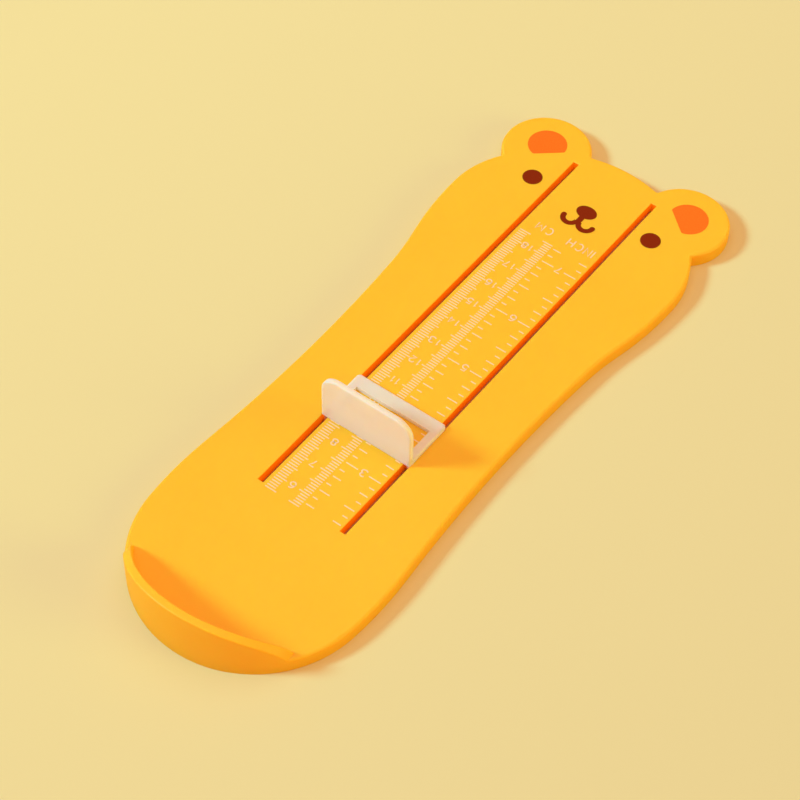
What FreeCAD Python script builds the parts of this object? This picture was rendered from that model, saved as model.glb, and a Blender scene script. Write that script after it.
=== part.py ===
import FreeCAD, Part

import math
import os
import re
import sys

import Sketcher

# Children's foot gauge: a moulded board with a heel cup and a toe slider that runs in two slots.
# Millimetres, +Z up, +X from the heel towards the ears. Sketches are drawn from the heel stop, so
# that a length along X is also the reading on the scale; each body's Placement then moves the
# whole gauge so that its box is centred on the origin, with its underside at Z = 0.

SIZES = {
    # board
    "board_height": 5.0,  # table to deck
    "deck_thickness": 2.0,
    "skirt_wall": 1.8,
    "edge_round": 1.0,  # round on the deck's outer edge
    # outline, along X from the heel stop and half widths across Y
    "heel_side_x": 45.0,  # widest place of the heel end
    "heel_half_width": 38.5,
    "heel_swell": 0.5,  # how much the heel end is wider than its round end
    "waist_share": 0.46,  # of the way from the heel stop to the brow
    "waist_inset": 2.6,  # how much the waist is narrower than the heel end
    "neck_radius": 100.0,
    "cheek_radius": 120.0,
    "head_flare": 4.4,  # how much the head is wider than the heel end
    "temple_radius": 34.1,
    "brow_x": 228.0,  # front of the head, between the ears
    "brow_radius": 46.0,
    "head_setback": 38.0,  # brow to the widest place of the head
    "ear_setback": 7.7,
    "ear_inset": 15.9,  # side of the head to the ear's centre
    "ear_radius": 15.1,
    "notch_round": 0.8,  # where an ear meets the head
    # heel cup
    "heel_wall": 2.6,
    "cup_height": 15.7,  # deck to the rim, at the back
    "rim_half_width": 30.4,  # the rim's arch is half an ellipse, seen from the front
    "rim_rise": 19.6,
    "rim_round": 0.45,
    # slots and the rails under them
    "slot_y": 15.3,
    "slot_width": 2.0,
    "slot_start": 55.6,
    "slot_end_gap": 7.4,  # slot to the brow
    "slot_round": 0.3,
    "rail_wall": 1.6,
    "rail_depth": 1.5,
    # toe slider
    "slider_reading": 86.0,  # where the toe plate stands, from the heel stop
    "slider_length": 18.6,
    "slider_lift": 0.1,  # running gap over the deck
    "slider_overhang": 0.3,  # past the outer sides of the slots
    "frame_thickness": 1.5,
    "frame_corner": 1.2,
    "plate_thickness": 2.0,
    "plate_height": 18.3,  # deck to its top edge
    "plate_corner": 6.0,
    "plate_round": 0.6,
    "window_back": 3.5,  # bar between the toe plate and the window
    "window_front": 4.8,  # bar on the ears' side of the window
    "window_side": 2.8,
    "leg_clearance": 0.2,  # leg to the slot's outer wall
    "leg_thickness": 1.1,
    "leg_length": 4.5,
    "leg_inset": 0.6,  # slider's end to the nearest leg
    "hook_reach": 0.8,
    "hook_height": 1.0,
    "hook_lead": 0.5,  # bevel that lets the hook snap through the slot
    "hook_gap": 0.1,  # hook to rail
    # ink
    "ink_film": 0.05,
    "eye_setback": 21.55,  # from the brow, as are the nose and the mouth
    "eye_inset": 19.75,  # side of the head to the eye's centre
    "eye_radius": 3.35,
    "ear_print_forward": 1.6,  # patch centre from the ear's centre
    "ear_print_outward": 0.8,
    "ear_print_radius": 6.6,
    "ear_print_flat": 4.0,  # patch centre to its flat side
    "ear_print_corner": 0.8,
    "ear_print_turn": 40.5,  # degrees
    "nose_setback": 23.95,
    "nose_half_length": 2.75,
    "nose_half_width": 3.6,
    "mouth_setback": 28.85,
    "mouth_radius": 2.5,
    "mouth_stroke": 1.8,
    "mouth_spread": 3.0,
    "stem_width": 2.0,
    # scales, both read from the heel stop
    "tick_width": 0.38,
    "cm_first": 55.0,
    "cm_pitch": 1.0,
    "cm_groups": 13,  # of ten marks
    "cm_margin": 1.3,  # slot to the outer ends of the marks
    "cm_short": 3.2,
    "cm_long": 4.1,
    "cm_inner_y": 0.35,
    "cm_inner_short": 2.8,
    "cm_inner_long": 3.85,
    "inch_first": 57.15,
    "inch_pitch": 3.175,
    "inch_groups": 5,  # of eight marks
    "inch_margin": 0.9,
    "inch_short": 1.8,
    "inch_quarter": 2.9,
    "inch_half": 3.7,
    "inch_long": 4.4,
    "inch_inner_y": 0.55,
}

doc = FreeCAD.newDocument("foot_gauge")
sheet = doc.addObject("Spreadsheet::Sheet", "Size")
for row, (alias, number) in enumerate(SIZES.items(), start=1):
    sheet.set(f"A{row}", alias)
    sheet.set(f"B{row}", str(number))
    sheet.setAlias(f"B{row}", alias)
doc.recompute()


def linked(formula):
    """Turn a formula of size names into an expression on the sheet."""
    return re.sub(r"[a-z_]+", lambda word: "Size." * (word[0] in SIZES) + word[0], formula)


def value(formula):
    """The number that a formula of size names has now."""
    return float(sheet.evalExpression(linked(formula)))


def bind(thing, name, formula):
    """Tie a property of an object to a formula of size names."""
    thing.setExpression(name, linked(formula))


HEEL_RADIUS = "(heel_half_width - heel_swell)"
HEAD_SIDE = "(heel_half_width + head_flare)"
HEAD_X = "(brow_x - head_setback)"
EAR_X = "(brow_x - ear_setback)"
EAR_Y = f"({HEAD_SIDE} - ear_inset)"
NOSE_X = "(brow_x - nose_setback)"
MOUTH_X = "(brow_x - mouth_setback)"
SHIFT_X = f"(heel_wall - {EAR_X} - ear_radius) / 2"


def origin_part(body, role):
    return next(part for part in body.Origin.OriginFeatures if part.Role == role)


def new_body(label, shift=SHIFT_X):
    body = doc.addObject("PartDesign::Body", label)
    body.Label = label
    bind(body, "Placement.Base.x", shift)
    return body


def new_sketch(body, name, plane="XY_Plane", offset="0"):
    sketch = body.newObject("Sketcher::SketchObject", name)
    sketch.AttachmentSupport = (origin_part(body, plane), [""])
    sketch.MapMode = "FlatFace"
    bind(sketch, "AttachmentOffset.Base.z", offset)
    return sketch


def dimension(sketch, kind, *where, formula):
    """Add a sketch dimension whose value follows a formula of size names."""
    number = sketch.addConstraint(Sketcher.Constraint(kind, *where, value(formula)))
    bind(sketch, f"Constraints[{number}]", formula)


def point_at(sketch, item, end, x, y):
    """Place one point of an item from the sketch's origin."""
    dimension(sketch, "DistanceX", -1, 1, item, end, formula=x)
    dimension(sketch, "DistanceY", -1, 1, item, end, formula=y)


def rectangle(sketch, x_low, x_high, y_low, y_high):
    """Draw a rectangle between four formulas."""
    left, right, low, high = (value(f) for f in (x_low, x_high, y_low, y_high))
    corners = [(left, low), (right, low), (right, high), (left, high)]
    points = [FreeCAD.Vector(x, y, 0) for x, y in corners]
    sides = []
    for start, end in zip(points, points[1:] + points[:1]):
        sides.append(sketch.addGeometry(Part.LineSegment(start, end), False))
    rules = []
    for one, following in zip(sides, sides[1:] + sides[:1]):
        rules.append(Sketcher.Constraint("Coincident", one, 2, following, 1))
    for number, side in enumerate(sides):
        rules.append(Sketcher.Constraint(("Horizontal", "Vertical")[number % 2], side))
    sketch.addConstraint(rules)
    point_at(sketch, sides[0], 1, x_low, y_low)
    point_at(sketch, sides[2], 1, x_high, y_high)


def ellipse(sketch, x, y, half_width, half_height):
    """Draw an upright ellipse from the formulas of its centre and its half axes."""
    centre = FreeCAD.Vector(value(x), value(y), 0)
    axes = [
        (value(half_width), FreeCAD.Vector(value(half_width), 0, 0), half_width, "Horizontal"),
        (value(half_height), FreeCAD.Vector(0, value(half_height), 0), half_height, "Vertical"),
    ]
    major, minor = sorted(axes, key=lambda axis: -axis[0])
    oval = sketch.addGeometry(Part.Ellipse(centre + major[1], centre + minor[1], centre), False)
    sketch.exposeInternalGeometry(oval)
    point_at(sketch, oval, 3, x, y)
    sketch.addConstraint(Sketcher.Constraint(major[3], oval + 1))
    dimension(sketch, "Distance", oval + 1, formula=f"2 * ({major[2]})")
    dimension(sketch, "Distance", oval + 2, formula=f"2 * ({minor[2]})")


def pad(body, sketch, length):
    feature = body.newObject("PartDesign::Pad", sketch.Name + "_pad")
    feature.Profile = sketch
    bind(feature, "Length", length)
    doc.recompute()
    return feature


def pocket(body, sketch, length=None, reverse=False):
    """Cut a sketch into the body, by a length or right through both ways."""
    before = body.Shape.Volume
    feature = body.newObject("PartDesign::Pocket", sketch.Name + "_cut")
    feature.Profile = sketch
    feature.Reversed = reverse
    if length:
        bind(feature, "Length", length)
    else:
        feature.Type = "ThroughAll"
        feature.Midplane = True
    doc.recompute()
    if body.Shape.Volume > before - 1e-3:
        sys.exit(f"{feature.Name} cuts nothing")
    return feature


def fuse(body, other):
    """Join another body's shape to this one."""
    feature = body.newObject("PartDesign::Boolean", other.Label + "_joined")
    feature.Type = "Fuse"
    feature.setObjects([other])
    body.Tip = feature
    doc.recompute()


def mirror(body, features, plane="XZ_Plane"):
    """Repeat features on the other side of the centre line."""
    feature = body.newObject("PartDesign::Mirrored", features[0].Name + "_mirrored")
    feature.Originals = features
    feature.MirrorPlane = (origin_part(body, plane), [""])
    body.Tip = feature
    doc.recompute()
    return feature


def on_edges(body, kind, name, wanted):
    """Start a feature on the edges of the body's last shape that a test picks out."""
    base = body.Tip
    names = [f"Edge{n}" for n, edge in enumerate(base.Shape.Edges, start=1) if wanted(edge)]
    if not names:
        sys.exit(f"{name} finds no edge")
    feature = body.newObject(kind, name)
    feature.Base = (base, names)
    return feature


def fillet(body, name, radius, wanted):
    bind(on_edges(body, "PartDesign::Fillet", name, wanted), "Radius", radius)
    doc.recompute()


def chamfer(body, name, size, wanted):
    bind(on_edges(body, "PartDesign::Chamfer", name, wanted), "Size", size)
    doc.recompute()


def edge_points(edge, count=5):
    first, last = edge.FirstParameter, edge.LastParameter
    return [edge.valueAt(first + (last - first) * n / (count - 1)) for n in range(count)]


def lies_at(edge, height):
    return all(abs(point.z - height) < 1e-3 for point in edge_points(edge))


# ---------------------------------------------------------------- board

def arc_through(sketch, first, middle, last, bulges):
    """An arc over three points of an outline that runs clockwise. It bulges outwards or is hollow.

    Returns the arc with the numbers of its first and last ends.
    """
    points = [FreeCAD.Vector(x, y, 0) for x, y in (first, middle, last)]
    item = sketch.addGeometry(Part.Arc(*points), False)
    return item, *((2, 1) if bulges else (1, 2))


def join(sketch, one, following):
    """Make two arcs meet end to end with one tangent."""
    sketch.addConstraint(Sketcher.Constraint("Tangent", one[0], one[2], following[0], following[1]))


def apex(sketch, arc, x, half_width):
    """Fix the place where an arc is widest or narrowest, with its centre straight across from it."""
    point = sketch.addGeometry(Part.Point(FreeCAD.Vector(value(x), value(half_width), 0)), True)
    point_at(sketch, point, 1, x, half_width)
    sketch.addConstraint(Sketcher.Constraint("PointOnObject", point, 1, arc[0]))
    sketch.addConstraint(Sketcher.Constraint("Vertical", point, 1, arc[0], 3))


def between(one, other, share):
    """A point some share of the way from one point to another."""
    return tuple(a + share * (b - a) for a, b in zip(one, other))


def beside(point, x, y):
    return point[0] + x, point[1] + y


def crossing(one, one_radius, other, other_radius, side):
    """Where two circles cross, on the side of 1 (left of the way to the other) or -1."""
    apart = math.dist(one, other)
    along = (apart**2 + one_radius**2 - other_radius**2) / (2 * apart)
    across = side * (one_radius**2 - along**2) ** 0.5
    way = ((other[0] - one[0]) / apart, (other[1] - one[1]) / apart)
    return beside(one, along * way[0] - across * way[1], along * way[1] + across * way[0])


def crown(centre, first, last):
    """The middle of a circle's shorter arc between two of its points."""
    chord_middle = between(first, last, 0.5)
    return between(centre, chord_middle, math.dist(centre, first) / math.dist(centre, chord_middle))


def notch(one, one_radius, other, other_radius, radius):
    """The ends and the middle of a hollow arc that eases the corner between two crossing circles."""
    centre = crossing(one, one_radius + radius, other, other_radius + radius, 1)
    first = between(one, centre, one_radius / (one_radius + radius))
    last = between(other, centre, other_radius / (other_radius + radius))
    return first, crown(centre, first, last), last


def half_outline(body, name, inset="0"):
    """Half of the board's outline, moved inwards by an inset and closed along the centre.

    Its arcs run from the heel: heel, heel side, waist, neck, cheek, temple, ear and brow, with a
    small hollow arc on each side of the ear.
    """
    sketch = new_sketch(body, name)
    heel_x = f"{inset} - heel_wall"
    side = f"heel_half_width - {inset}"
    waist_x = "waist_share * brow_x"
    waist = f"heel_half_width - waist_inset - {inset}"
    head = f"{HEAD_SIDE} - {inset}"
    brow_x = f"brow_x - {inset}"
    radii = {
        "heel": f"{HEEL_RADIUS} - {inset}",
        "neck": f"neck_radius + {inset}",
        "cheek": f"cheek_radius - {inset}",
        "temple": f"temple_radius - {inset}",
        "ear": f"ear_radius - {inset}",
        "notch": f"notch_round + {inset}",
        "brow": f"brow_radius - {inset}",
    }
    radius = {name: value(formula) for name, formula in radii.items()}

    # The ends of the arcs are worked out from how their circles touch, and the constraints below
    # then hold them there.
    start = (value(heel_x), 0.0)
    at_heel = (value("heel_side_x"), value(side))
    at_waist = (value(waist_x), value(waist))
    at_head = (value(HEAD_X), value(head))
    finish = (value(brow_x), 0.0)
    heel_centre = beside(start, radius["heel"], 0.0)
    side_radius = math.dist(heel_centre, at_heel) ** 2 - radius["heel"] ** 2
    side_radius /= 2 * (at_heel[1] - radius["heel"])
    waist_radius = math.dist(at_heel, at_waist) ** 2 / (2 * (at_heel[1] - at_waist[1])) - side_radius
    side_centre = beside(at_heel, 0.0, -side_radius)
    waist_centre = beside(at_waist, 0.0, waist_radius)
    cheek_centre = beside(at_head, 0.0, -radius["cheek"])
    temple_centre = beside(at_head, 0.0, -radius["temple"])
    ear_centre = (value(EAR_X), value(EAR_Y))
    brow_centre = beside(finish, -radius["brow"], 0.0)
    neck_reach = radius["neck"] + radius["cheek"]
    neck_centre = crossing(waist_centre, waist_radius - radius["neck"], cheek_centre, neck_reach, -1)
    heel_end = between(side_centre, heel_centre, side_radius / (side_radius - radius["heel"]))
    side_end = between(side_centre, waist_centre, side_radius / (side_radius + waist_radius))
    waist_end = between(waist_centre, neck_centre, waist_radius / (waist_radius - radius["neck"]))
    neck_end = between(neck_centre, cheek_centre, radius["neck"] / neck_reach)
    behind_ear = notch(temple_centre, radius["temple"], ear_centre, radius["ear"], radius["notch"])
    before_ear = notch(ear_centre, radius["ear"], brow_centre, radius["brow"], radius["notch"])
    ear_top = beside(ear_centre, 0.8 * radius["ear"], 0.6 * radius["ear"])

    heel = arc_through(sketch, start, crown(heel_centre, start, heel_end), heel_end, True)
    heel_side = arc_through(sketch, heel_end, at_heel, side_end, True)
    waist_arc = arc_through(sketch, side_end, at_waist, waist_end, False)
    neck = arc_through(sketch, waist_end, crown(neck_centre, waist_end, neck_end), neck_end, False)
    cheek = arc_through(sketch, neck_end, crown(cheek_centre, neck_end, at_head), at_head, True)
    temple_middle = crown(temple_centre, at_head, behind_ear[0])
    temple = arc_through(sketch, at_head, temple_middle, behind_ear[0], True)
    outer_notch = arc_through(sketch, *behind_ear, False)
    ear = arc_through(sketch, behind_ear[2], ear_top, before_ear[0], True)
    inner_notch = arc_through(sketch, *before_ear, False)
    brow_middle = crown(brow_centre, before_ear[2], finish)
    brow = arc_through(sketch, before_ear[2], brow_middle, finish, True)
    centre_line = Part.LineSegment(FreeCAD.Vector(*finish, 0), FreeCAD.Vector(*start, 0))
    centre = sketch.addGeometry(centre_line, False)

    chain = (heel, heel_side, waist_arc, neck, cheek)
    ear_chain = (temple, outer_notch, ear, inner_notch, brow)
    for arcs in (chain, ear_chain):
        for one, following in zip(arcs, arcs[1:]):
            join(sketch, one, following)
    sketch.addConstraint(Sketcher.Constraint("Coincident", cheek[0], cheek[2], temple[0], temple[1]))
    sketch.addConstraint(Sketcher.Constraint("Coincident", brow[0], brow[2], centre, 1))
    sketch.addConstraint(Sketcher.Constraint("Coincident", heel[0], heel[1], centre, 2))
    for arc in (heel, brow):
        sketch.addConstraint(Sketcher.Constraint("PointOnObject", arc[0], 3, -1))
    for arc in (cheek, temple):
        sketch.addConstraint(Sketcher.Constraint("Vertical", arc[0], 3, cheek[0], cheek[2]))
    point_at(sketch, centre, 2, heel_x, "0")
    point_at(sketch, centre, 1, brow_x, "0")
    point_at(sketch, cheek[0], cheek[2], HEAD_X, head)
    point_at(sketch, ear[0], 3, EAR_X, EAR_Y)
    apex(sketch, heel_side, "heel_side_x", side)
    apex(sketch, waist_arc, waist_x, waist)
    rounds = {
        "heel": (heel,),
        "neck": (neck,),
        "cheek": (cheek,),
        "temple": (temple,),
        "ear": (ear,),
        "notch": (outer_notch, inner_notch),
        "brow": (brow,),
    }
    for name, arcs in rounds.items():
        for arc in arcs:
            dimension(sketch, "Radius", arc[0], formula=radii[name])
    doc.recompute()
    return sketch


def make_heel_wall():
    """The raised wall round the heel: half a ring with soft rims, arched as seen from the front.

    It starts where the round of the deck's edge starts, and its ends run down into the deck.
    """
    body = new_body("heel_wall", shift="0")
    inner_radius = f"({HEEL_RADIUS} - heel_wall)"
    foot = "board_height - edge_round"
    radii = (value(HEEL_RADIUS), value(inner_radius))
    middle = radii[1]  # the inner face touches the heel stop

    plan = new_sketch(body, "heel_wall_plan", offset=foot)
    outer, inner = (
        plan.addGeometry(Part.Arc(
            FreeCAD.Vector(middle, radius, 0),
            FreeCAD.Vector(middle - radius, 0, 0),
            FreeCAD.Vector(middle, -radius, 0)), False)
        for radius in radii)
    for end, side in ((1, 1), (2, -1)):
        corners = [FreeCAD.Vector(middle, side * radius, 0) for radius in radii]
        line = plan.addGeometry(Part.LineSegment(*corners), False)
        plan.addConstraint(Sketcher.Constraint("Coincident", outer, end, line, 1))
        plan.addConstraint(Sketcher.Constraint("Coincident", inner, end, line, 2))
        plan.addConstraint(Sketcher.Constraint("Vertical", line))
    plan.addConstraint(Sketcher.Constraint("Coincident", outer, 3, inner, 3))
    plan.addConstraint(Sketcher.Constraint("Vertical", outer, 3, outer, 1))
    point_at(plan, outer, 3, inner_radius, "0")
    dimension(plan, "Radius", outer, formula=HEEL_RADIUS)
    dimension(plan, "Radius", inner, formula=inner_radius)
    pad(body, plan, "cup_height + edge_round")

    arch = new_sketch(body, "outside_the_arch", "YZ_Plane")
    ellipse(arch, "0", "board_height + cup_height - rim_rise", "rim_half_width", "rim_rise")
    beyond = "(heel_half_width + rim_rise + cup_height)"
    rectangle(arch, f"-{beyond}", beyond, f"-{beyond}", beyond)
    pocket(body, arch)

    def on_the_rim(edge):
        """The arch's edges on the inner and the outer face of the wall."""
        away = [math.dist((point.x, point.y), (middle, 0.0)) for point in edge_points(edge)]
        along_a_face = any(all(abs(one - radius) < 1e-3 for one in away) for radius in radii)
        return along_a_face and not lies_at(edge, value(foot))

    fillet(body, "rim_edge_round", "rim_round", on_the_rim)
    return body


def slot_plan(body, name, margin="0", offset="0"):
    """Both slots seen from above, wider all round by a margin."""
    sketch = new_sketch(body, name, offset=offset)
    near = f"slot_y - slot_width / 2 - {margin}"
    far = f"slot_y + slot_width / 2 + {margin}"
    ends = (f"slot_start - {margin}", f"brow_x - slot_end_gap + {margin}")
    rectangle(sketch, *ends, near, far)
    rectangle(sketch, *ends, f"-({far})", f"-({near})")
    return sketch


def make_base_board():
    wall = make_heel_wall()
    body = new_body("base_board")
    deck = value("board_height")
    board = pad(body, half_outline(body, "outline"), "board_height")
    mirror(body, [board])
    fillet(body, "deck_edge_round", "edge_round", lambda edge: lies_at(edge, deck))
    fuse(body, wall)

    hollow = pocket(body, half_outline(body, "hollow", "skirt_wall"), "board_height - deck_thickness", True)
    mirror(body, [hollow])
    rail_foot = "board_height - deck_thickness - rail_depth"
    pad(body, slot_plan(body, "rails", "rail_wall", rail_foot), "rail_depth + deck_thickness / 2")
    pocket(body, slot_plan(body, "slots"))

    def round_a_slot(edge):
        off_centre = [abs(point.y) - value("slot_y") for point in edge_points(edge)]
        return lies_at(edge, deck) and all(abs(off) < value("slot_width") for off in off_centre)

    fillet(body, "slot_edge_round", "slot_round", round_a_slot)
    return body


# ---------------------------------------------------------------- toe slider

def make_toe_slider():
    body = new_body("toe_slider")
    bind(body, "Placement.Base.x", f"{SHIFT_X} + slider_reading")
    underside = "board_height + slider_lift"
    side = "(slot_y + slot_width / 2 + slider_overhang)"

    frame = new_sketch(body, "frame", offset=underside)
    rectangle(frame, "0", "slider_length", f"-{side}", side)
    pad(body, frame, "frame_thickness")
    length = value("slider_length")
    fillet(body, "frame_corners", "frame_corner", lambda edge: edge.BoundBox.XMin > length - 1e-3
           and edge.BoundBox.YLength < 1e-3)

    plate = new_sketch(body, "plate", "YZ_Plane")
    rectangle(plate, f"-{side}", side, underside, "board_height + plate_height")
    pad(body, plate, "plate_thickness")
    top = value("board_height + plate_height")
    fillet(body, "plate_corners", "plate_corner", lambda edge: edge.BoundBox.YLength < 1e-3
           and edge.BoundBox.ZMin > top - 1e-3)

    window = new_sketch(body, "window", offset=underside)
    rectangle(window, "plate_thickness + window_back", "slider_length - window_front",
              f"window_side - {side}", f"{side} - window_side")
    pocket(body, window, "frame_thickness", True)

    frame_top = value("board_height + slider_lift + frame_thickness")

    def soft_edge(edge):
        """The plate's free edges and the frame's outer upper edge."""
        box = edge.BoundBox
        above = box.ZMin > frame_top - 1e-3 and box.ZMax > frame_top + 1e-3
        toe_side = lies_at(edge, frame_top) and box.XMax > length - value("frame_corner") - 1e-3
        return above or toe_side

    fillet(body, "soft_edges", "plate_round", soft_edge)

    leg_top = f"({underside} + frame_thickness / 2)"
    hook_top = "(board_height - deck_thickness - rail_depth - hook_gap)"
    hook_foot = f"({hook_top} - hook_height)"
    outer = "slot_y + slot_width / 2 - leg_clearance"
    inner = f"{outer} - leg_thickness"
    legs = new_sketch(body, "legs", offset=hook_foot)
    hooks = new_sketch(body, "hooks", offset=hook_foot)
    for ends in (("leg_inset", "leg_inset + leg_length"),
                 ("slider_length - leg_inset - leg_length", "slider_length - leg_inset")):
        rectangle(legs, *ends, inner, outer)
        rectangle(hooks, *ends, f"({inner} + {outer}) / 2", f"{outer} + hook_reach")
    leg_pad = pad(body, legs, f"{leg_top} - {hook_foot}")
    hook_pad = pad(body, hooks, "hook_height")
    mirror(body, [leg_pad, hook_pad])
    tip = value(f"{outer} + hook_reach")
    foot = value(hook_foot)
    chamfer(body, "hook_leads", "hook_lead", lambda edge: lies_at(edge, foot)
            and all(abs(abs(point.y) - tip) < 1e-3 for point in edge_points(edge)))
    return body


# ---------------------------------------------------------------- ink on the board

def make_eye(label, side):
    eye = doc.addObject("Part::Cylinder", label)
    eye.Label = label
    bind(eye, "Radius", "eye_radius")
    bind(eye, "Height", "ink_film")
    bind(eye, "Placement.Base.x", f"{SHIFT_X} + brow_x - eye_setback")
    bind(eye, "Placement.Base.y", f"{side}({HEAD_SIDE} - eye_inset)")
    bind(eye, "Placement.Base.z", "board_height")
    doc.recompute()
    return eye


def make_ear_print(label, side):
    """A disc with one flat side, turned to face the middle of the head."""
    body = new_body(label)
    sketch = new_sketch(body, label + "_patch")
    radius = value("ear_print_radius")
    flat = value("ear_print_flat")
    half = (radius**2 - flat**2) ** 0.5
    low = FreeCAD.Vector(-flat, -half, 0)
    high = FreeCAD.Vector(-flat, half, 0)
    arc = sketch.addGeometry(Part.Arc(low, FreeCAD.Vector(radius, 0, 0), high), False)
    chord = sketch.addGeometry(Part.LineSegment(high, low), False)
    sketch.addConstraint(Sketcher.Constraint("Coincident", arc, 2, chord, 1))
    sketch.addConstraint(Sketcher.Constraint("Coincident", arc, 1, chord, 2))
    sketch.addConstraint(Sketcher.Constraint("Coincident", arc, 3, -1, 1))
    sketch.addConstraint(Sketcher.Constraint("Vertical", chord))
    dimension(sketch, "Radius", arc, formula="ear_print_radius")
    dimension(sketch, "DistanceX", -1, 1, chord, 1, formula="-ear_print_flat")
    pad(body, sketch, "ink_film")
    fillet(body, label + "_corners", "ear_print_corner", lambda edge: edge.BoundBox.ZLength > 1e-3
           and edge.BoundBox.YLength < 1e-3)
    bind(body, "Placement.Base.x", f"{SHIFT_X} + {EAR_X} + ear_print_forward")
    bind(body, "Placement.Base.y", f"{side}({EAR_Y} + ear_print_outward)")
    bind(body, "Placement.Base.z", "board_height")
    bind(body, "Placement.Rotation.Angle", f"{side}ear_print_turn")
    doc.recompute()
    return body


def make_muzzle():
    body = new_body("muzzle_print")
    deck = "board_height"

    nose = new_sketch(body, "nose", offset=deck)
    ellipse(nose, NOSE_X, "0", "nose_half_length", "nose_half_width")
    pad(body, nose, "ink_film")

    stem = new_sketch(body, "stem", offset=deck)
    rectangle(stem, f"{MOUTH_X} - mouth_radius / 2", NOSE_X, "-stem_width / 2", "stem_width / 2")
    pad(body, stem, "ink_film")

    smile = new_sketch(body, "smile", offset=deck)
    x = value(MOUTH_X)
    y = value("mouth_spread")
    half_stroke = value("mouth_stroke / 2")
    middle = value("mouth_radius")
    outer = middle + half_stroke
    inner = middle - half_stroke
    tip = y + middle

    def arc(one, two, three):
        points = [FreeCAD.Vector(px, py, 0) for px, py in (one, two, three)]
        return smile.addGeometry(Part.Arc(*points), False)

    outer_arc = arc((x, y + outer), (x - outer, y), (x, y - outer))
    inner_arc = arc((x, y + inner), (x - inner, y), (x, y - inner))
    cap = arc((x, y + inner), (x + half_stroke, tip), (x, y + outer))
    root = smile.addGeometry(
        Part.LineSegment(FreeCAD.Vector(x, y - outer, 0), FreeCAD.Vector(x, y - inner, 0)), False)
    joints = ((outer_arc, 1, cap, 2), (inner_arc, 1, cap, 1), (outer_arc, 2, root, 1), (inner_arc, 2, root, 2))
    for joint in joints:
        smile.addConstraint(Sketcher.Constraint("Coincident", *joint))
    smile.addConstraint(Sketcher.Constraint("Coincident", outer_arc, 3, inner_arc, 3))
    smile.addConstraint(Sketcher.Constraint("Vertical", root))
    smile.addConstraint(Sketcher.Constraint("Vertical", outer_arc, 3, root, 1))
    smile.addConstraint(Sketcher.Constraint("Vertical", outer_arc, 3, outer_arc, 1))
    smile.addConstraint(Sketcher.Constraint("Vertical", inner_arc, 3, inner_arc, 1))
    smile.addConstraint(Sketcher.Constraint("Vertical", cap, 3, cap, 1))
    point_at(smile, outer_arc, 3, MOUTH_X, "mouth_spread")
    dimension(smile, "Radius", outer_arc, formula="mouth_radius + mouth_stroke / 2")
    dimension(smile, "Radius", inner_arc, formula="mouth_radius - mouth_stroke / 2")
    hook = pad(body, smile, "ink_film")
    mirror(body, [hook])
    return body


def marks(sketch, first, step, rows, ranks):
    """Draw marks one step apart, each in every row, as long as its rank is in that row.

    A row is the formula of the line that its marks start from, the side that they point to, and
    the length of each rank.
    """
    for number, rank in enumerate(ranks):
        x = f"{first} + {number} * {step}"
        for start, way, lengths in rows:
            ends = (start, f"{start} {way} {lengths[rank]}")
            low, high = ends if way == "+" else reversed(ends)
            rectangle(sketch, f"{x} - tick_width / 2", f"{x} + tick_width / 2", low, high)


def scale(label, first, step, groups, rows, ranks):
    """A printed scale: a group of marks repeated along X, closed by one more mark."""
    body = new_body(label)
    last = new_sketch(body, label + "_last", offset="board_height")
    marks(last, f"{first} + {groups} * {len(ranks)} * {step}", step, rows, ranks[:1])
    pad(body, last, "ink_film")
    group = new_sketch(body, label + "_group", offset="board_height")
    marks(group, first, step, rows, ranks)
    group_pad = pad(body, group, "ink_film")
    row = body.newObject("PartDesign::LinearPattern", label + "_row")
    row.Originals = [group_pad]
    row.Direction = (origin_part(body, "X_Axis"), [""])
    row.Mode = "Spacing"
    bind(row, "Offset", f"{len(ranks)} * {step}")
    bind(row, "Occurrences", groups)
    body.Tip = row
    doc.recompute()
    return body


SLOT_EDGE = "slot_y - slot_width / 2"


def make_cm_scale():
    """Marks of 1 mm, longer at each 5 mm, beside the left slot and along the middle."""
    rows = (
        (f"({SLOT_EDGE} - cm_margin)", "-", ("cm_short", "cm_long")),
        ("cm_inner_y", "+", ("cm_inner_short", "cm_inner_long")),
    )
    ranks = (1, 0, 0, 0, 0, 1, 0, 0, 0, 0)
    return scale("cm_scale_print", "cm_first", "cm_pitch", "cm_groups", rows, ranks)


def make_inch_scale():
    """Marks of an eighth of an inch, longer at quarters, halves and inches, in two facing rows."""
    lengths = ("inch_short", "inch_quarter", "inch_half", "inch_long")
    rows = (("-inch_inner_y", "-", lengths), (f"-({SLOT_EDGE} - inch_margin)", "+", lengths))
    ranks = (1, 0, 2, 0, 1, 0, 3, 0)
    return scale("inch_scale_print", "inch_first", "inch_pitch", "inch_groups", rows, ranks)


# ---------------------------------------------------------------- build, check, write

def make_parts():
    return [
        make_base_board(),
        make_toe_slider(),
        make_ear_print("left_ear_print", ""),
        make_ear_print("right_ear_print", "-"),
        make_eye("left_eye_print", ""),
        make_eye("right_eye_print", "-"),
        make_muzzle(),
        make_cm_scale(),
        make_inch_scale(),
    ]


def check(parts):
    """Stop before anything is written if a feature failed or a shape is unsound."""
    for thing in doc.Objects:
        if "Invalid" in thing.State or "Error" in thing.State:
            sys.exit(f"{thing.Name} is {thing.State}")
    for part in parts:
        if part.Shape.isNull() or not part.Shape.isValid():
            sys.exit(f"{part.Label} has no sound shape")


def main():
    parts = make_parts()
    doc.recompute()
    check(parts)
    os.makedirs("parts", exist_ok=True)
    for part in parts:
        part.Shape.exportStep(f"parts/{part.Label}.step")
        box = part.Shape.BoundBox
        corners = (box.XMin, box.XMax, box.YMin, box.YMax, box.ZMin, box.ZMax)
        print(part.Label, len(part.Shape.Solids), "solids", *(round(number, 2) for number in corners))


main()
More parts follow.
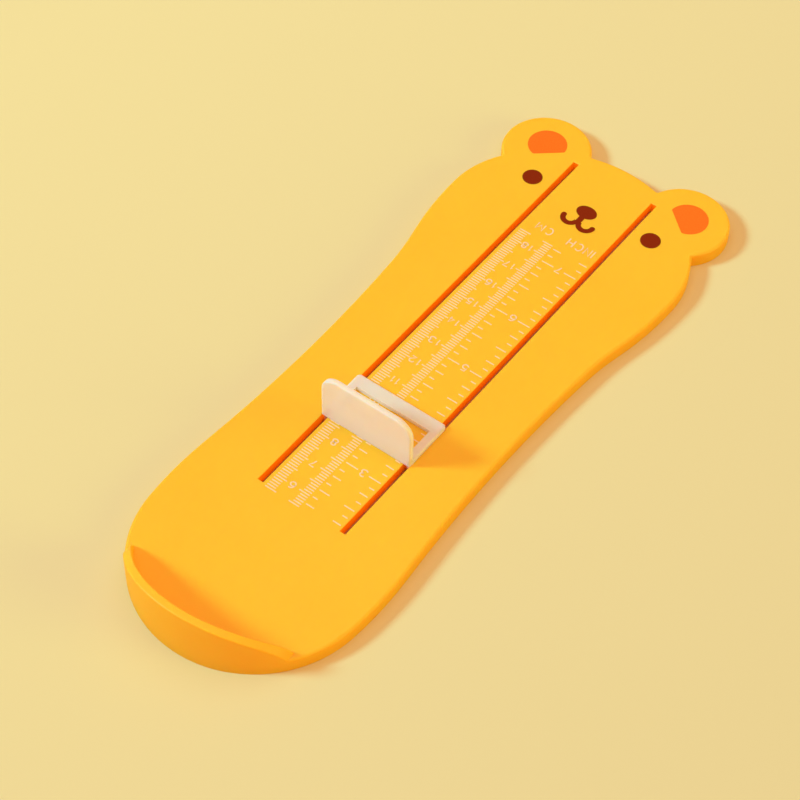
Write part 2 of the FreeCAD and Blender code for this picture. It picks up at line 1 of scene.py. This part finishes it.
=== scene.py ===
import math

import bpy
from mathutils import Matrix, Vector


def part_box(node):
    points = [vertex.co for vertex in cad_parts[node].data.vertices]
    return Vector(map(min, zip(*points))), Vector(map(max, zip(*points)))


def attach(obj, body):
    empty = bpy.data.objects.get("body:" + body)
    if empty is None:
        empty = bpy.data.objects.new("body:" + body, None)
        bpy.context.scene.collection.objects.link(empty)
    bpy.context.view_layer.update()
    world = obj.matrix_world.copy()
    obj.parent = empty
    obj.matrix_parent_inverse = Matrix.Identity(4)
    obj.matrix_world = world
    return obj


# Looks of a children's foot gauge: a yellow moulded board with a bear outline and printed scales,
# and a milky toe slider. Metres, in the frame's own axes: +X from the heel to the ears, +Z up.

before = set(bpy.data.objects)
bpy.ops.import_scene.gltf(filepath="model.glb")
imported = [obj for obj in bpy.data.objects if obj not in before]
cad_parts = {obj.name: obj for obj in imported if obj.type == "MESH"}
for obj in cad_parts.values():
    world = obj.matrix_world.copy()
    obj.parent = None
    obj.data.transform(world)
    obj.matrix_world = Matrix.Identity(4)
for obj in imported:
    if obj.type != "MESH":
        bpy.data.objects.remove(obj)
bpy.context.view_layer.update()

MM = 0.001
HEEL_STOP = -116.4 * MM  # where both scales have their zero, along X
DECK = 5.0 * MM
DECK_UNDERSIDE = 3.0 * MM
SLOT_MIDDLE = (21.7 * MM, 15.3 * MM)  # along X, and to each side along Y
SLOT_HALF = (84.0 * MM, 1.3 * MM)  # with the rounding of its edges
EDGE_ROUND = 0.2 * MM  # how far below the deck its faces still count as its top
THROUGH_DECK = 0.1  # share of light that goes through the board's flat faces
THROUGH_SIDES = 0.3  # through its upright faces
THROUGH_SLOTS = 0.85  # through the walls of its slots
UPRIGHT = 0.3  # a face whose normal has less of Z than this is an upright one
FLAT = 0.8  # and one that has more than this is a flat one
INK_FILM = 0.05 * MM
INCH = 25.4  # in millimetres, as the places on the scales are


# ---------------------------------------------------------------- colours and nodes

def rgb(text):
    """Linear colour, with alpha, of an sRGB hex value."""
    parts = [int(text[n:n + 2], 16) / 255 for n in (1, 3, 5)]
    return (*((c / 12.92 if c <= 0.04045 else ((c + 0.055) / 1.055) ** 2.4) for c in parts), 1.0)


def output_of(source):
    """The output socket meant by a node, or by a node with an output's name."""
    node, name = source if isinstance(source, tuple) else (source, None)
    return next(o for o in node.outputs if o.enabled and name in (None, o.name))


def add(tree, kind, inputs, **settings):
    """Add a shader node. An input is a value, a node, or a node with the name of its output.

    Inputs are given by name, or by number where a node has several of one name.
    """
    node = tree.nodes.new("ShaderNode" + kind)
    for name, setting in settings.items():
        setattr(node, name, setting)
    for name, source in inputs.items():
        socket = next(i for n, i in enumerate(node.inputs) if i.enabled and name in (n, i.name))
        node_given = source[0] if isinstance(source, tuple) else source
        if isinstance(node_given, bpy.types.Node):
            tree.links.new(output_of(source), socket)
        else:
            socket.default_value = source
    return node


def new_material(name):
    """An empty material, its node tree and the node that gives its object coordinates in metres."""
    material = bpy.data.materials.new(name)
    material.use_nodes = True
    tree = material.node_tree
    tree.nodes.clear()
    return material, tree, (add(tree, "TexCoord", {}), "Object")


def paint(thing, material):
    """Give an object one material on all its faces."""
    thing.data.materials.clear()
    thing.data.materials.append(material)


# ---------------------------------------------------------------- materials

def within(tree, source, middle, half):
    """1 where a value lies within half of middle, else 0."""
    return add(tree, "Math", {0: source, 1: middle, 2: half}, operation="COMPARE")


def share_let_through(tree, place):
    """The share of light that goes through the board's plastic instead of bouncing off it.

    Light that enters the deck runs inside the plastic. It leaves at the sides, and most at the walls
    of the slots, which glow. Light that meets the deck's top from inside goes out as easily.
    """
    geometry = add(tree, "NewGeometry", {})
    normal = add(tree, "SeparateXYZ", {"Vector": (geometry, "Normal")})
    at = add(tree, "SeparateXYZ", {"Vector": place})
    level = add(tree, "Math", {0: (normal, "Z")}, operation="ABSOLUTE")
    side = add(tree, "MapRange", {
        "Value": level,
        "From Min": UPRIGHT,
        "From Max": FLAT,
        "To Min": THROUGH_SIDES,
        "To Max": THROUGH_DECK,
    })
    along = within(tree, (at, "X"), SLOT_MIDDLE[0], SLOT_HALF[0])
    from_middle = add(tree, "Math", {0: (at, "Y")}, operation="ABSOLUTE")
    across = within(tree, from_middle, SLOT_MIDDLE[1], SLOT_HALF[1])
    by_slot = add(tree, "Math", {0: along, 1: across}, operation="MULTIPLY")
    below = add(tree, "Math", {0: (at, "Z"), 1: DECK - EDGE_ROUND}, operation="LESS_THAN")
    slot_wall = add(tree, "Math", {0: by_slot, 1: below}, operation="MULTIPLY")
    inside = (geometry, "Backfacing")
    deck_inside = add(tree, "Math", {0: inside, 1: below}, operation="SUBTRACT", use_clamp=True)
    clear = add(tree, "Math", {0: slot_wall, 1: deck_inside}, operation="MAXIMUM")
    most = add(tree, "Math", {0: clear, 1: THROUGH_SLOTS}, operation="MULTIPLY")
    return add(tree, "Math", {0: side, 1: most}, operation="MAXIMUM")


def yellow_polystyrene():
    """Dyed high-impact polystyrene from a lightly spark-eroded mould.

    The eye gets a satin yellow that turns orange where light has passed through thin walls or
    bounced between them, with a fine even grain and slow changes of depth from the flow of the melt.
    """
    material, tree, place = new_material("moulded_yellow_polystyrene")
    flow = add(tree, "TexNoise", {"Vector": place, "Scale": 1 / (45 * MM), "Roughness": 0.45})
    tone = add(tree, "Mix", {"Factor": flow, "A": rgb("#FFC926"), "B": rgb("#FFC21E")}, data_type="RGBA")
    grain = add(tree, "TexNoise", {"Vector": place, "Scale": 1 / (0.35 * MM), "Detail": 3.0})
    sink = add(tree, "TexNoise", {"Vector": place, "Scale": 1 / (18 * MM), "Detail": 1.0})
    wave = add(tree, "Bump", {"Height": sink, "Strength": 0.06, "Distance": 0.6 * MM})
    bump = add(tree, "Bump", {"Height": grain, "Normal": wave, "Strength": 0.12, "Distance": 0.03 * MM})
    gloss = add(tree, "MapRange", {"Value": grain, "To Min": 0.5, "To Max": 0.6})
    surface = add(tree, "BsdfPrincipled", {
        "Base Color": tone,
        "Roughness": gloss,
        "IOR": 1.55,
        "Specular IOR Level": 0.35,
        "Normal": bump,
        "Subsurface Weight": 0.4,
        "Subsurface Radius": (1.0, 0.25, 0.03),
        "Subsurface Scale": 1.2 * MM,
    })
    glow = add(tree, "BsdfTranslucent", {"Color": rgb("#FFAA14"), "Normal": bump})
    wall = add(tree, "MixShader", {"Fac": share_let_through(tree, place), 1: surface, 2: glow})
    add(tree, "OutputMaterial", {"Surface": wall})
    return material


def milky_polypropylene():
    """Natural polypropylene, undyed: milky, with light that travels some millimetres inside it.

    The eye gets a warm off-white without hard shading, that takes a tint from what lies close
    behind it, with paler edges and a soft satin sheen.
    """
    material, tree, place = new_material("natural_polypropylene")
    cloud = add(tree, "TexNoise", {"Vector": place, "Scale": 1 / (7 * MM)})
    tone = add(tree, "Mix", {"Factor": cloud, "A": rgb("#FAF0DB"), "B": rgb("#F8EAD2")}, data_type="RGBA")
    grain = add(tree, "TexNoise", {"Vector": place, "Scale": 1 / (0.3 * MM)})
    bump = add(tree, "Bump", {"Height": grain, "Strength": 0.1, "Distance": 0.02 * MM})
    gloss = add(tree, "MapRange", {"Value": cloud, "To Min": 0.42, "To Max": 0.5})
    surface = add(tree, "BsdfPrincipled", {
        "Base Color": tone,
        "Roughness": gloss,
        "IOR": 1.49,
        "Normal": bump,
        "Alpha": 0.68,
        "Subsurface Weight": 0.8,
        "Subsurface Radius": (1.0, 0.8, 0.6),
        "Subsurface Scale": 2.0 * MM,
    })
    add(tree, "OutputMaterial", {"Surface": surface})
    return material


def printed_ink(name, full, thin, roughness):
    """Pad-printed ink, a film so thin that its density varies and the board shows through it.

    The eye gets a flat tint with faint specks where the film is thin, duller than the board. It has
    one colour where the film is full and another where it is thin.
    """
    material, tree, place = new_material(name)
    speck = add(tree, "TexNoise", {
        "Vector": place,
        "Scale": 1 / (0.5 * MM),
        "Detail": 3.0,
        "Roughness": 0.7,
    })
    share = add(tree, "MapRange", {"Value": speck, "From Min": 0.35, "From Max": 0.7, "To Max": 0.5})
    tone = add(tree, "Mix", {"Factor": share, "A": rgb(full), "B": rgb(thin)}, data_type="RGBA")
    bump = add(tree, "Bump", {"Height": speck, "Strength": 0.15, "Distance": 0.02 * MM})
    surface = add(tree, "BsdfPrincipled", {
        "Base Color": tone,
        "Roughness": roughness,
        "IOR": 1.5,
        "Specular IOR Level": 0.08,
        "Normal": bump,
    })
    add(tree, "OutputMaterial", {"Surface": surface})
    return material


def straw_card():
    """Uncoated straw-coloured card, the studio's table: dull, with short soft fibres.

    Its tone is painted lighter towards the far left, a painted falloff of the room's light across the
    table, so it changes slowly from side to side.
    """
    material, tree, place = new_material("straw_card")
    fibre = add(tree, "TexNoise", {
        "Vector": place,
        "Scale": 1 / (1.2 * MM),
        "Detail": 4.0,
        "Roughness": 0.65,
    })
    at = add(tree, "SeparateXYZ", {"Vector": place})
    # painted light: the card's tone goes from darker at -Y to lighter at +Y, the far left, as painted room
    # light
    painted_light_falloff = add(tree, "MapRange", {"Value": (at, "Y"), "From Min": -200 * MM, "From Max": 200 * MM})
    tint = add(tree, "Mix", {"Factor": painted_light_falloff, "A": rgb("#E1CE8E"), "B": rgb("#ECDE98")}, data_type="RGBA")
    bump = add(tree, "Bump", {"Height": fibre, "Strength": 0.1, "Distance": 0.05 * MM})
    surface = add(tree, "BsdfPrincipled", {
        "Base Color": tint,
        "Roughness": 0.85,
        "Normal": bump,
        "Specular IOR Level": 0.25,
    })
    add(tree, "OutputMaterial", {"Surface": surface})
    return material


board_plastic = yellow_polystyrene()
slider_plastic = milky_polypropylene()
ear_ink = printed_ink("orange_pad_ink", "#FF6F16", "#FF8024", roughness=0.45)
face_ink = printed_ink("brown_pad_ink", "#822101", "#8E2C04", roughness=0.4)
scale_ink = printed_ink("pale_pad_ink", "#FFD9AE", "#FFC562", roughness=0.5)

NODE_MATERIALS = {
    "base_board": board_plastic,
    "toe_slider": slider_plastic,
    "left_ear_print": ear_ink,
    "right_ear_print": ear_ink,
    "left_eye_print": face_ink,
    "right_eye_print": face_ink,
    "muzzle_print": face_ink,
    "cm_scale_print": scale_ink,
    "inch_scale_print": scale_ink,
}
for node_name, node_material in NODE_MATERIALS.items():
    paint(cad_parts[node_name], node_material)


# ---------------------------------------------------------------- numbers and words on the scales

PEN = 0.5  # width of a stroke, in millimetres
BEND = 20  # degrees from point to point of a bow


def bow(x, y, half_width, half_height, start, end):
    """Points along part of an oval, from one angle to another in degrees."""
    count = max(3, round(abs(end - start) / BEND))
    angles = (math.radians(start + (end - start) * n / count) for n in range(count + 1))
    return [(x + half_width * math.cos(a), y + half_height * math.sin(a)) for a in angles]


# Plain upright letters. Each has its width as a share of its height, and the middle lines of its
# strokes from (0, 0) at its lower left to (1, 1) at its upper right.
SIX_BOWL = bow(0.5, 0.32, 0.5, 0.32, 180, 540)
SIX_BACK = bow(0.62, 0.42, 0.62, 0.58, 185, 65)
GLYPHS = {
    "0": (0.75, [bow(0.5, 0.5, 0.5, 0.5, 90, 450)]),
    "1": (0.3, [[(0.0, 0.74), (0.6, 0.86), (1.0, 1.0), (1.0, 0.0)]]),
    "2": (0.75, [bow(0.5, 0.7, 0.5, 0.3, 170, -30) + [(0.0, 0.0), (1.0, 0.0)]]),
    "3": (0.75, [bow(0.46, 0.76, 0.44, 0.24, 150, -80) + bow(0.46, 0.27, 0.54, 0.27, 80, -150)]),
    "4": (0.75, [[(0.76, 0.0), (0.76, 1.0), (0.0, 0.28), (1.0, 0.28)]]),
    "5": (0.75, [[(0.92, 1.0), (0.2, 1.0), (0.08, 0.48)] + bow(0.48, 0.33, 0.52, 0.33, 125, -150)]),
    "6": (0.75, [SIX_BACK, SIX_BOWL]),
    "7": (0.75, [[(0.0, 1.0), (1.0, 1.0), (0.55, 0.5), (0.35, 0.0)]]),
    "8": (0.75, [bow(0.5, 0.76, 0.42, 0.24, -90, 270), bow(0.5, 0.26, 0.5, 0.26, 90, 450)]),
    "9": (0.75, [[(1 - x, 1 - y) for x, y in line] for line in (SIX_BACK, SIX_BOWL)]),
    "C": (0.76, [bow(0.52, 0.5, 0.52, 0.5, 50, 310)]),
    "H": (0.7, [[(0.0, 0.0), (0.0, 1.0)], [(1.0, 0.0), (1.0, 1.0)], [(0.0, 0.5), (1.0, 0.5)]]),
    "I": (0.13, [[(0.5, 0.0), (0.5, 1.0)]]),
    "M": (0.88, [[(0.0, 0.0), (0.0, 1.0), (0.5, 0.2), (1.0, 1.0), (1.0, 0.0)]]),
    "N": (0.7, [[(0.0, 0.0), (0.0, 1.0), (1.0, 0.0), (1.0, 1.0)]]),
}


def word_lines(text, height, gap):
    """The middle lines of a word's strokes in millimetres, with its middle at zero. It reads along +x."""
    widths = [GLYPHS[letter][0] * height for letter in text]
    left = -(sum(widths) + gap * (len(text) - 1)) / 2
    lines = []
    for letter, width in zip(text, widths):
        wide = max(width - PEN, 0.0)
        for stroke in GLYPHS[letter][1]:
            lines.append([(left + PEN / 2 + x * wide, (y - 0.5) * (height - PEN)) for x, y in stroke])
        left += width + gap
    return lines


def lettering(name, words, height, gap):
    """A film of ink with words at places on the deck, read from the ears' end.

    Each word has its text and the place of its middle, from the heel stop along X and across Y.
    """
    curve = bpy.data.curves.new(name, "CURVE")
    curve.dimensions = "3D"
    curve.bevel_depth = PEN / 2
    curve.bevel_resolution = 1
    curve.use_fill_caps = True
    for text, x, y in words:
        for line in word_lines(text, height, gap):
            closed = math.dist(line[0], line[-1]) < PEN / 1000
            points = line[:-1] if closed else line
            spline = curve.splines.new("POLY")
            spline.points.add(len(points) - 1)
            spline.use_cyclic_u = closed
            for point, (along, up) in zip(spline.points, points):
                point.co = (x - up, y + along, 0.0, 1.0)
    pen_path = bpy.data.objects.new(name + "_pen_path", curve)
    bpy.context.scene.collection.objects.link(pen_path)
    depsgraph = bpy.context.evaluated_depsgraph_get()
    film = bpy.data.meshes.new_from_object(pen_path.evaluated_get(depsgraph))
    bpy.data.objects.remove(pen_path)
    flatten = Matrix.Diagonal((MM, MM, INK_FILM / PEN, 1.0))
    film.transform(Matrix.Translation((HEEL_STOP, 0.0, DECK + INK_FILM / 2)) @ flatten)
    piece = bpy.data.objects.new(name, film)
    bpy.context.scene.collection.objects.link(piece)
    paint(piece, scale_ink)
    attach(piece, "board")


cm_numbers = [(str(cm), 10 * cm, 6.8) for cm in range(6, 19)]
inch_numbers = [(str(inch), INCH * inch, -7.05) for inch in range(3, 8)]
lettering("cm_numbers", cm_numbers, height=2.9, gap=0.85)
lettering("inch_numbers", inch_numbers, height=3.05, gap=0.85)
lettering("cm_word", [("CM", 189.7, 6.6)], height=3.4, gap=0.8)
lettering("inch_word", [("INCH", 189.9, -7.3)], height=3.6, gap=0.6)


# ---------------------------------------------------------------- marks that the mould leaves

SIDES = 32  # of a round piece


def turned(name, place, profile):
    """A round piece from a profile of (radius, height) pairs, in millimetres, that starts on the axis."""
    rings = [[(0.0, 0.0, profile[0][1])]]
    for radius, height in profile[1:]:
        angles = (2 * math.pi * n / SIDES for n in range(SIDES))
        rings.append([(radius * math.cos(a), radius * math.sin(a), height) for a in angles])
    points = [Vector(place) + Vector(p) * MM for ring in rings for p in ring]
    faces = [(0, 1 + n, 1 + (n + 1) % SIDES) for n in range(SIDES)]
    for ring in range(len(rings) - 2):
        near = 1 + ring * SIDES
        far = near + SIDES
        faces += [(near + n, far + n, far + (n + 1) % SIDES, near + (n + 1) % SIDES) for n in range(SIDES)]
    faces.append(tuple(reversed(range(len(points) - SIDES, len(points)))))
    mesh = bpy.data.meshes.new(name)
    mesh.from_pydata(points, [], faces)
    mesh.update()
    piece = bpy.data.objects.new(name, mesh)
    bpy.context.scene.collection.objects.link(piece)
    paint(piece, board_plastic)
    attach(piece, "board")


def ejector_pin_marks():
    """Rings that the mould's ejector pins leave on the underside of the deck, in two rows."""
    low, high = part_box("base_board")
    length = high[0] - low[0]
    row = 0.29 * (high[1] - low[1])
    rim = [(0.0, -0.04), (2.1, -0.04), (2.25, -0.16), (2.5, -0.16), (2.6, 0.1)]
    for number, share in enumerate((0.13, 0.37, 0.61, 0.85), start=1):
        for side, y in (("left", row), ("right", -row)):
            place = (low[0] + share * length, y, DECK_UNDERSIDE)
            turned(f"ejector_pin_mark_{side}_{number}", place, rim)


def gate_mark():
    """The stub where the melt entered, broken off under the middle of the board."""
    stub = [(0.0, -0.55), (0.5, -0.7), (0.9, -0.45), (1.2, -0.2), (1.6, 0.1)]
    turned("gate_mark", (0.0, 0.0, DECK_UNDERSIDE), stub)


ejector_pin_marks()
gate_mark()


# ---------------------------------------------------------------- table, light and camera

def card_table():
    """The table: a wide flat sheet of card under the gauge."""
    half = 3.0
    level = -0.02 * MM  # just clear of the skirt's foot
    corners = [(-half, -half, level), (half, -half, level), (half, half, level), (-half, half, level)]
    mesh = bpy.data.meshes.new("table_card")
    mesh.from_pydata(corners, [], [(0, 1, 2, 3)])
    table = bpy.data.objects.new("table_card", mesh)
    bpy.context.scene.collection.objects.link(table)
    paint(table, straw_card())


def lamp(name, kind, place, **settings):
    """A lamp at a place, aimed at the middle of the gauge. A sun shines from that direction."""
    data = bpy.data.lights.new(name, kind)
    for setting, amount in settings.items():
        setattr(data, setting, amount)
    thing = bpy.data.objects.new(name, data)
    thing.location = place
    thing.rotation_euler = Vector(place).to_track_quat("Z", "Y").to_euler()
    bpy.context.scene.collection.objects.link(thing)


def studio():
    """The lamps and the room: cool light from the key, warm light from all round.

    The key is a broad lamp behind the heel's left side. A softbox hangs overhead, and a yellow-green
    reflector stands low on the right. Together they light the deck with a plain white.
    """
    from_heel_left = (-0.904, 1.153, 1.0)
    overhead = (0.0, 0.0, 1.2)
    low_right = (0.42, -1.41, 0.31)
    cool = (0.27, 0.73, 1.0)
    yellow_green = (0.72, 1.0, 0.25)
    warm = (1.0, 0.49, 0.355, 1.0)
    lamp("key", "SUN", from_heel_left, energy=3.09, angle=math.radians(12), color=cool)
    lamp("softbox", "AREA", overhead, energy=3.8, shape="DISK", size=1.4)
    lamp("reflector", "SUN", low_right, energy=1.17, angle=math.radians(30), color=yellow_green)

    world = bpy.data.worlds.new("room")
    world.use_nodes = True
    tree = world.node_tree
    tree.nodes.clear()
    rays = add(tree, "LightPath", {})
    mirrored = (rays, "Is Glossy Ray")
    through = (rays, "Is Transmission Ray")
    by_object = add(tree, "Math", {0: mirrored, 1: through}, operation="MAXIMUM")
    seen = add(tree, "Math", {0: (rays, "Is Camera Ray"), 1: by_object}, operation="MAXIMUM")
    fill = add(tree, "Background", {"Color": warm, "Strength": 0.69})
    backdrop = add(tree, "Background", {"Color": rgb("#F4DD97"), "Strength": 1.0})
    mix = add(tree, "MixShader", {"Fac": seen, 1: fill, 2: backdrop})
    add(tree, "OutputWorld", {"Surface": mix})
    bpy.context.scene.world = world


def camera():
    """The camera, by its lens, its place, its heading from +X, how far it looks down and its roll."""
    data = bpy.data.cameras.new("camera")
    data.sensor_width = 36.0
    data.lens = 99.5
    thing = bpy.data.objects.new("camera", data)
    place = (-0.34935, -0.24285, 0.52865)
    heading = math.radians(35.841)
    down = math.radians(51.497)
    roll = math.radians(1.549)
    aim = Matrix.Rotation(heading - math.pi / 2, 4, "Z") @ Matrix.Rotation(math.pi / 2 - down, 4, "X")
    aim = aim @ Matrix.Rotation(roll, 4, "Z")
    thing.matrix_world = Matrix.Translation(place) @ aim
    bpy.context.scene.collection.objects.link(thing)
    bpy.context.scene.camera = thing


card_table()
studio()
camera()
bpy.context.scene.view_settings.view_transform = "Standard"
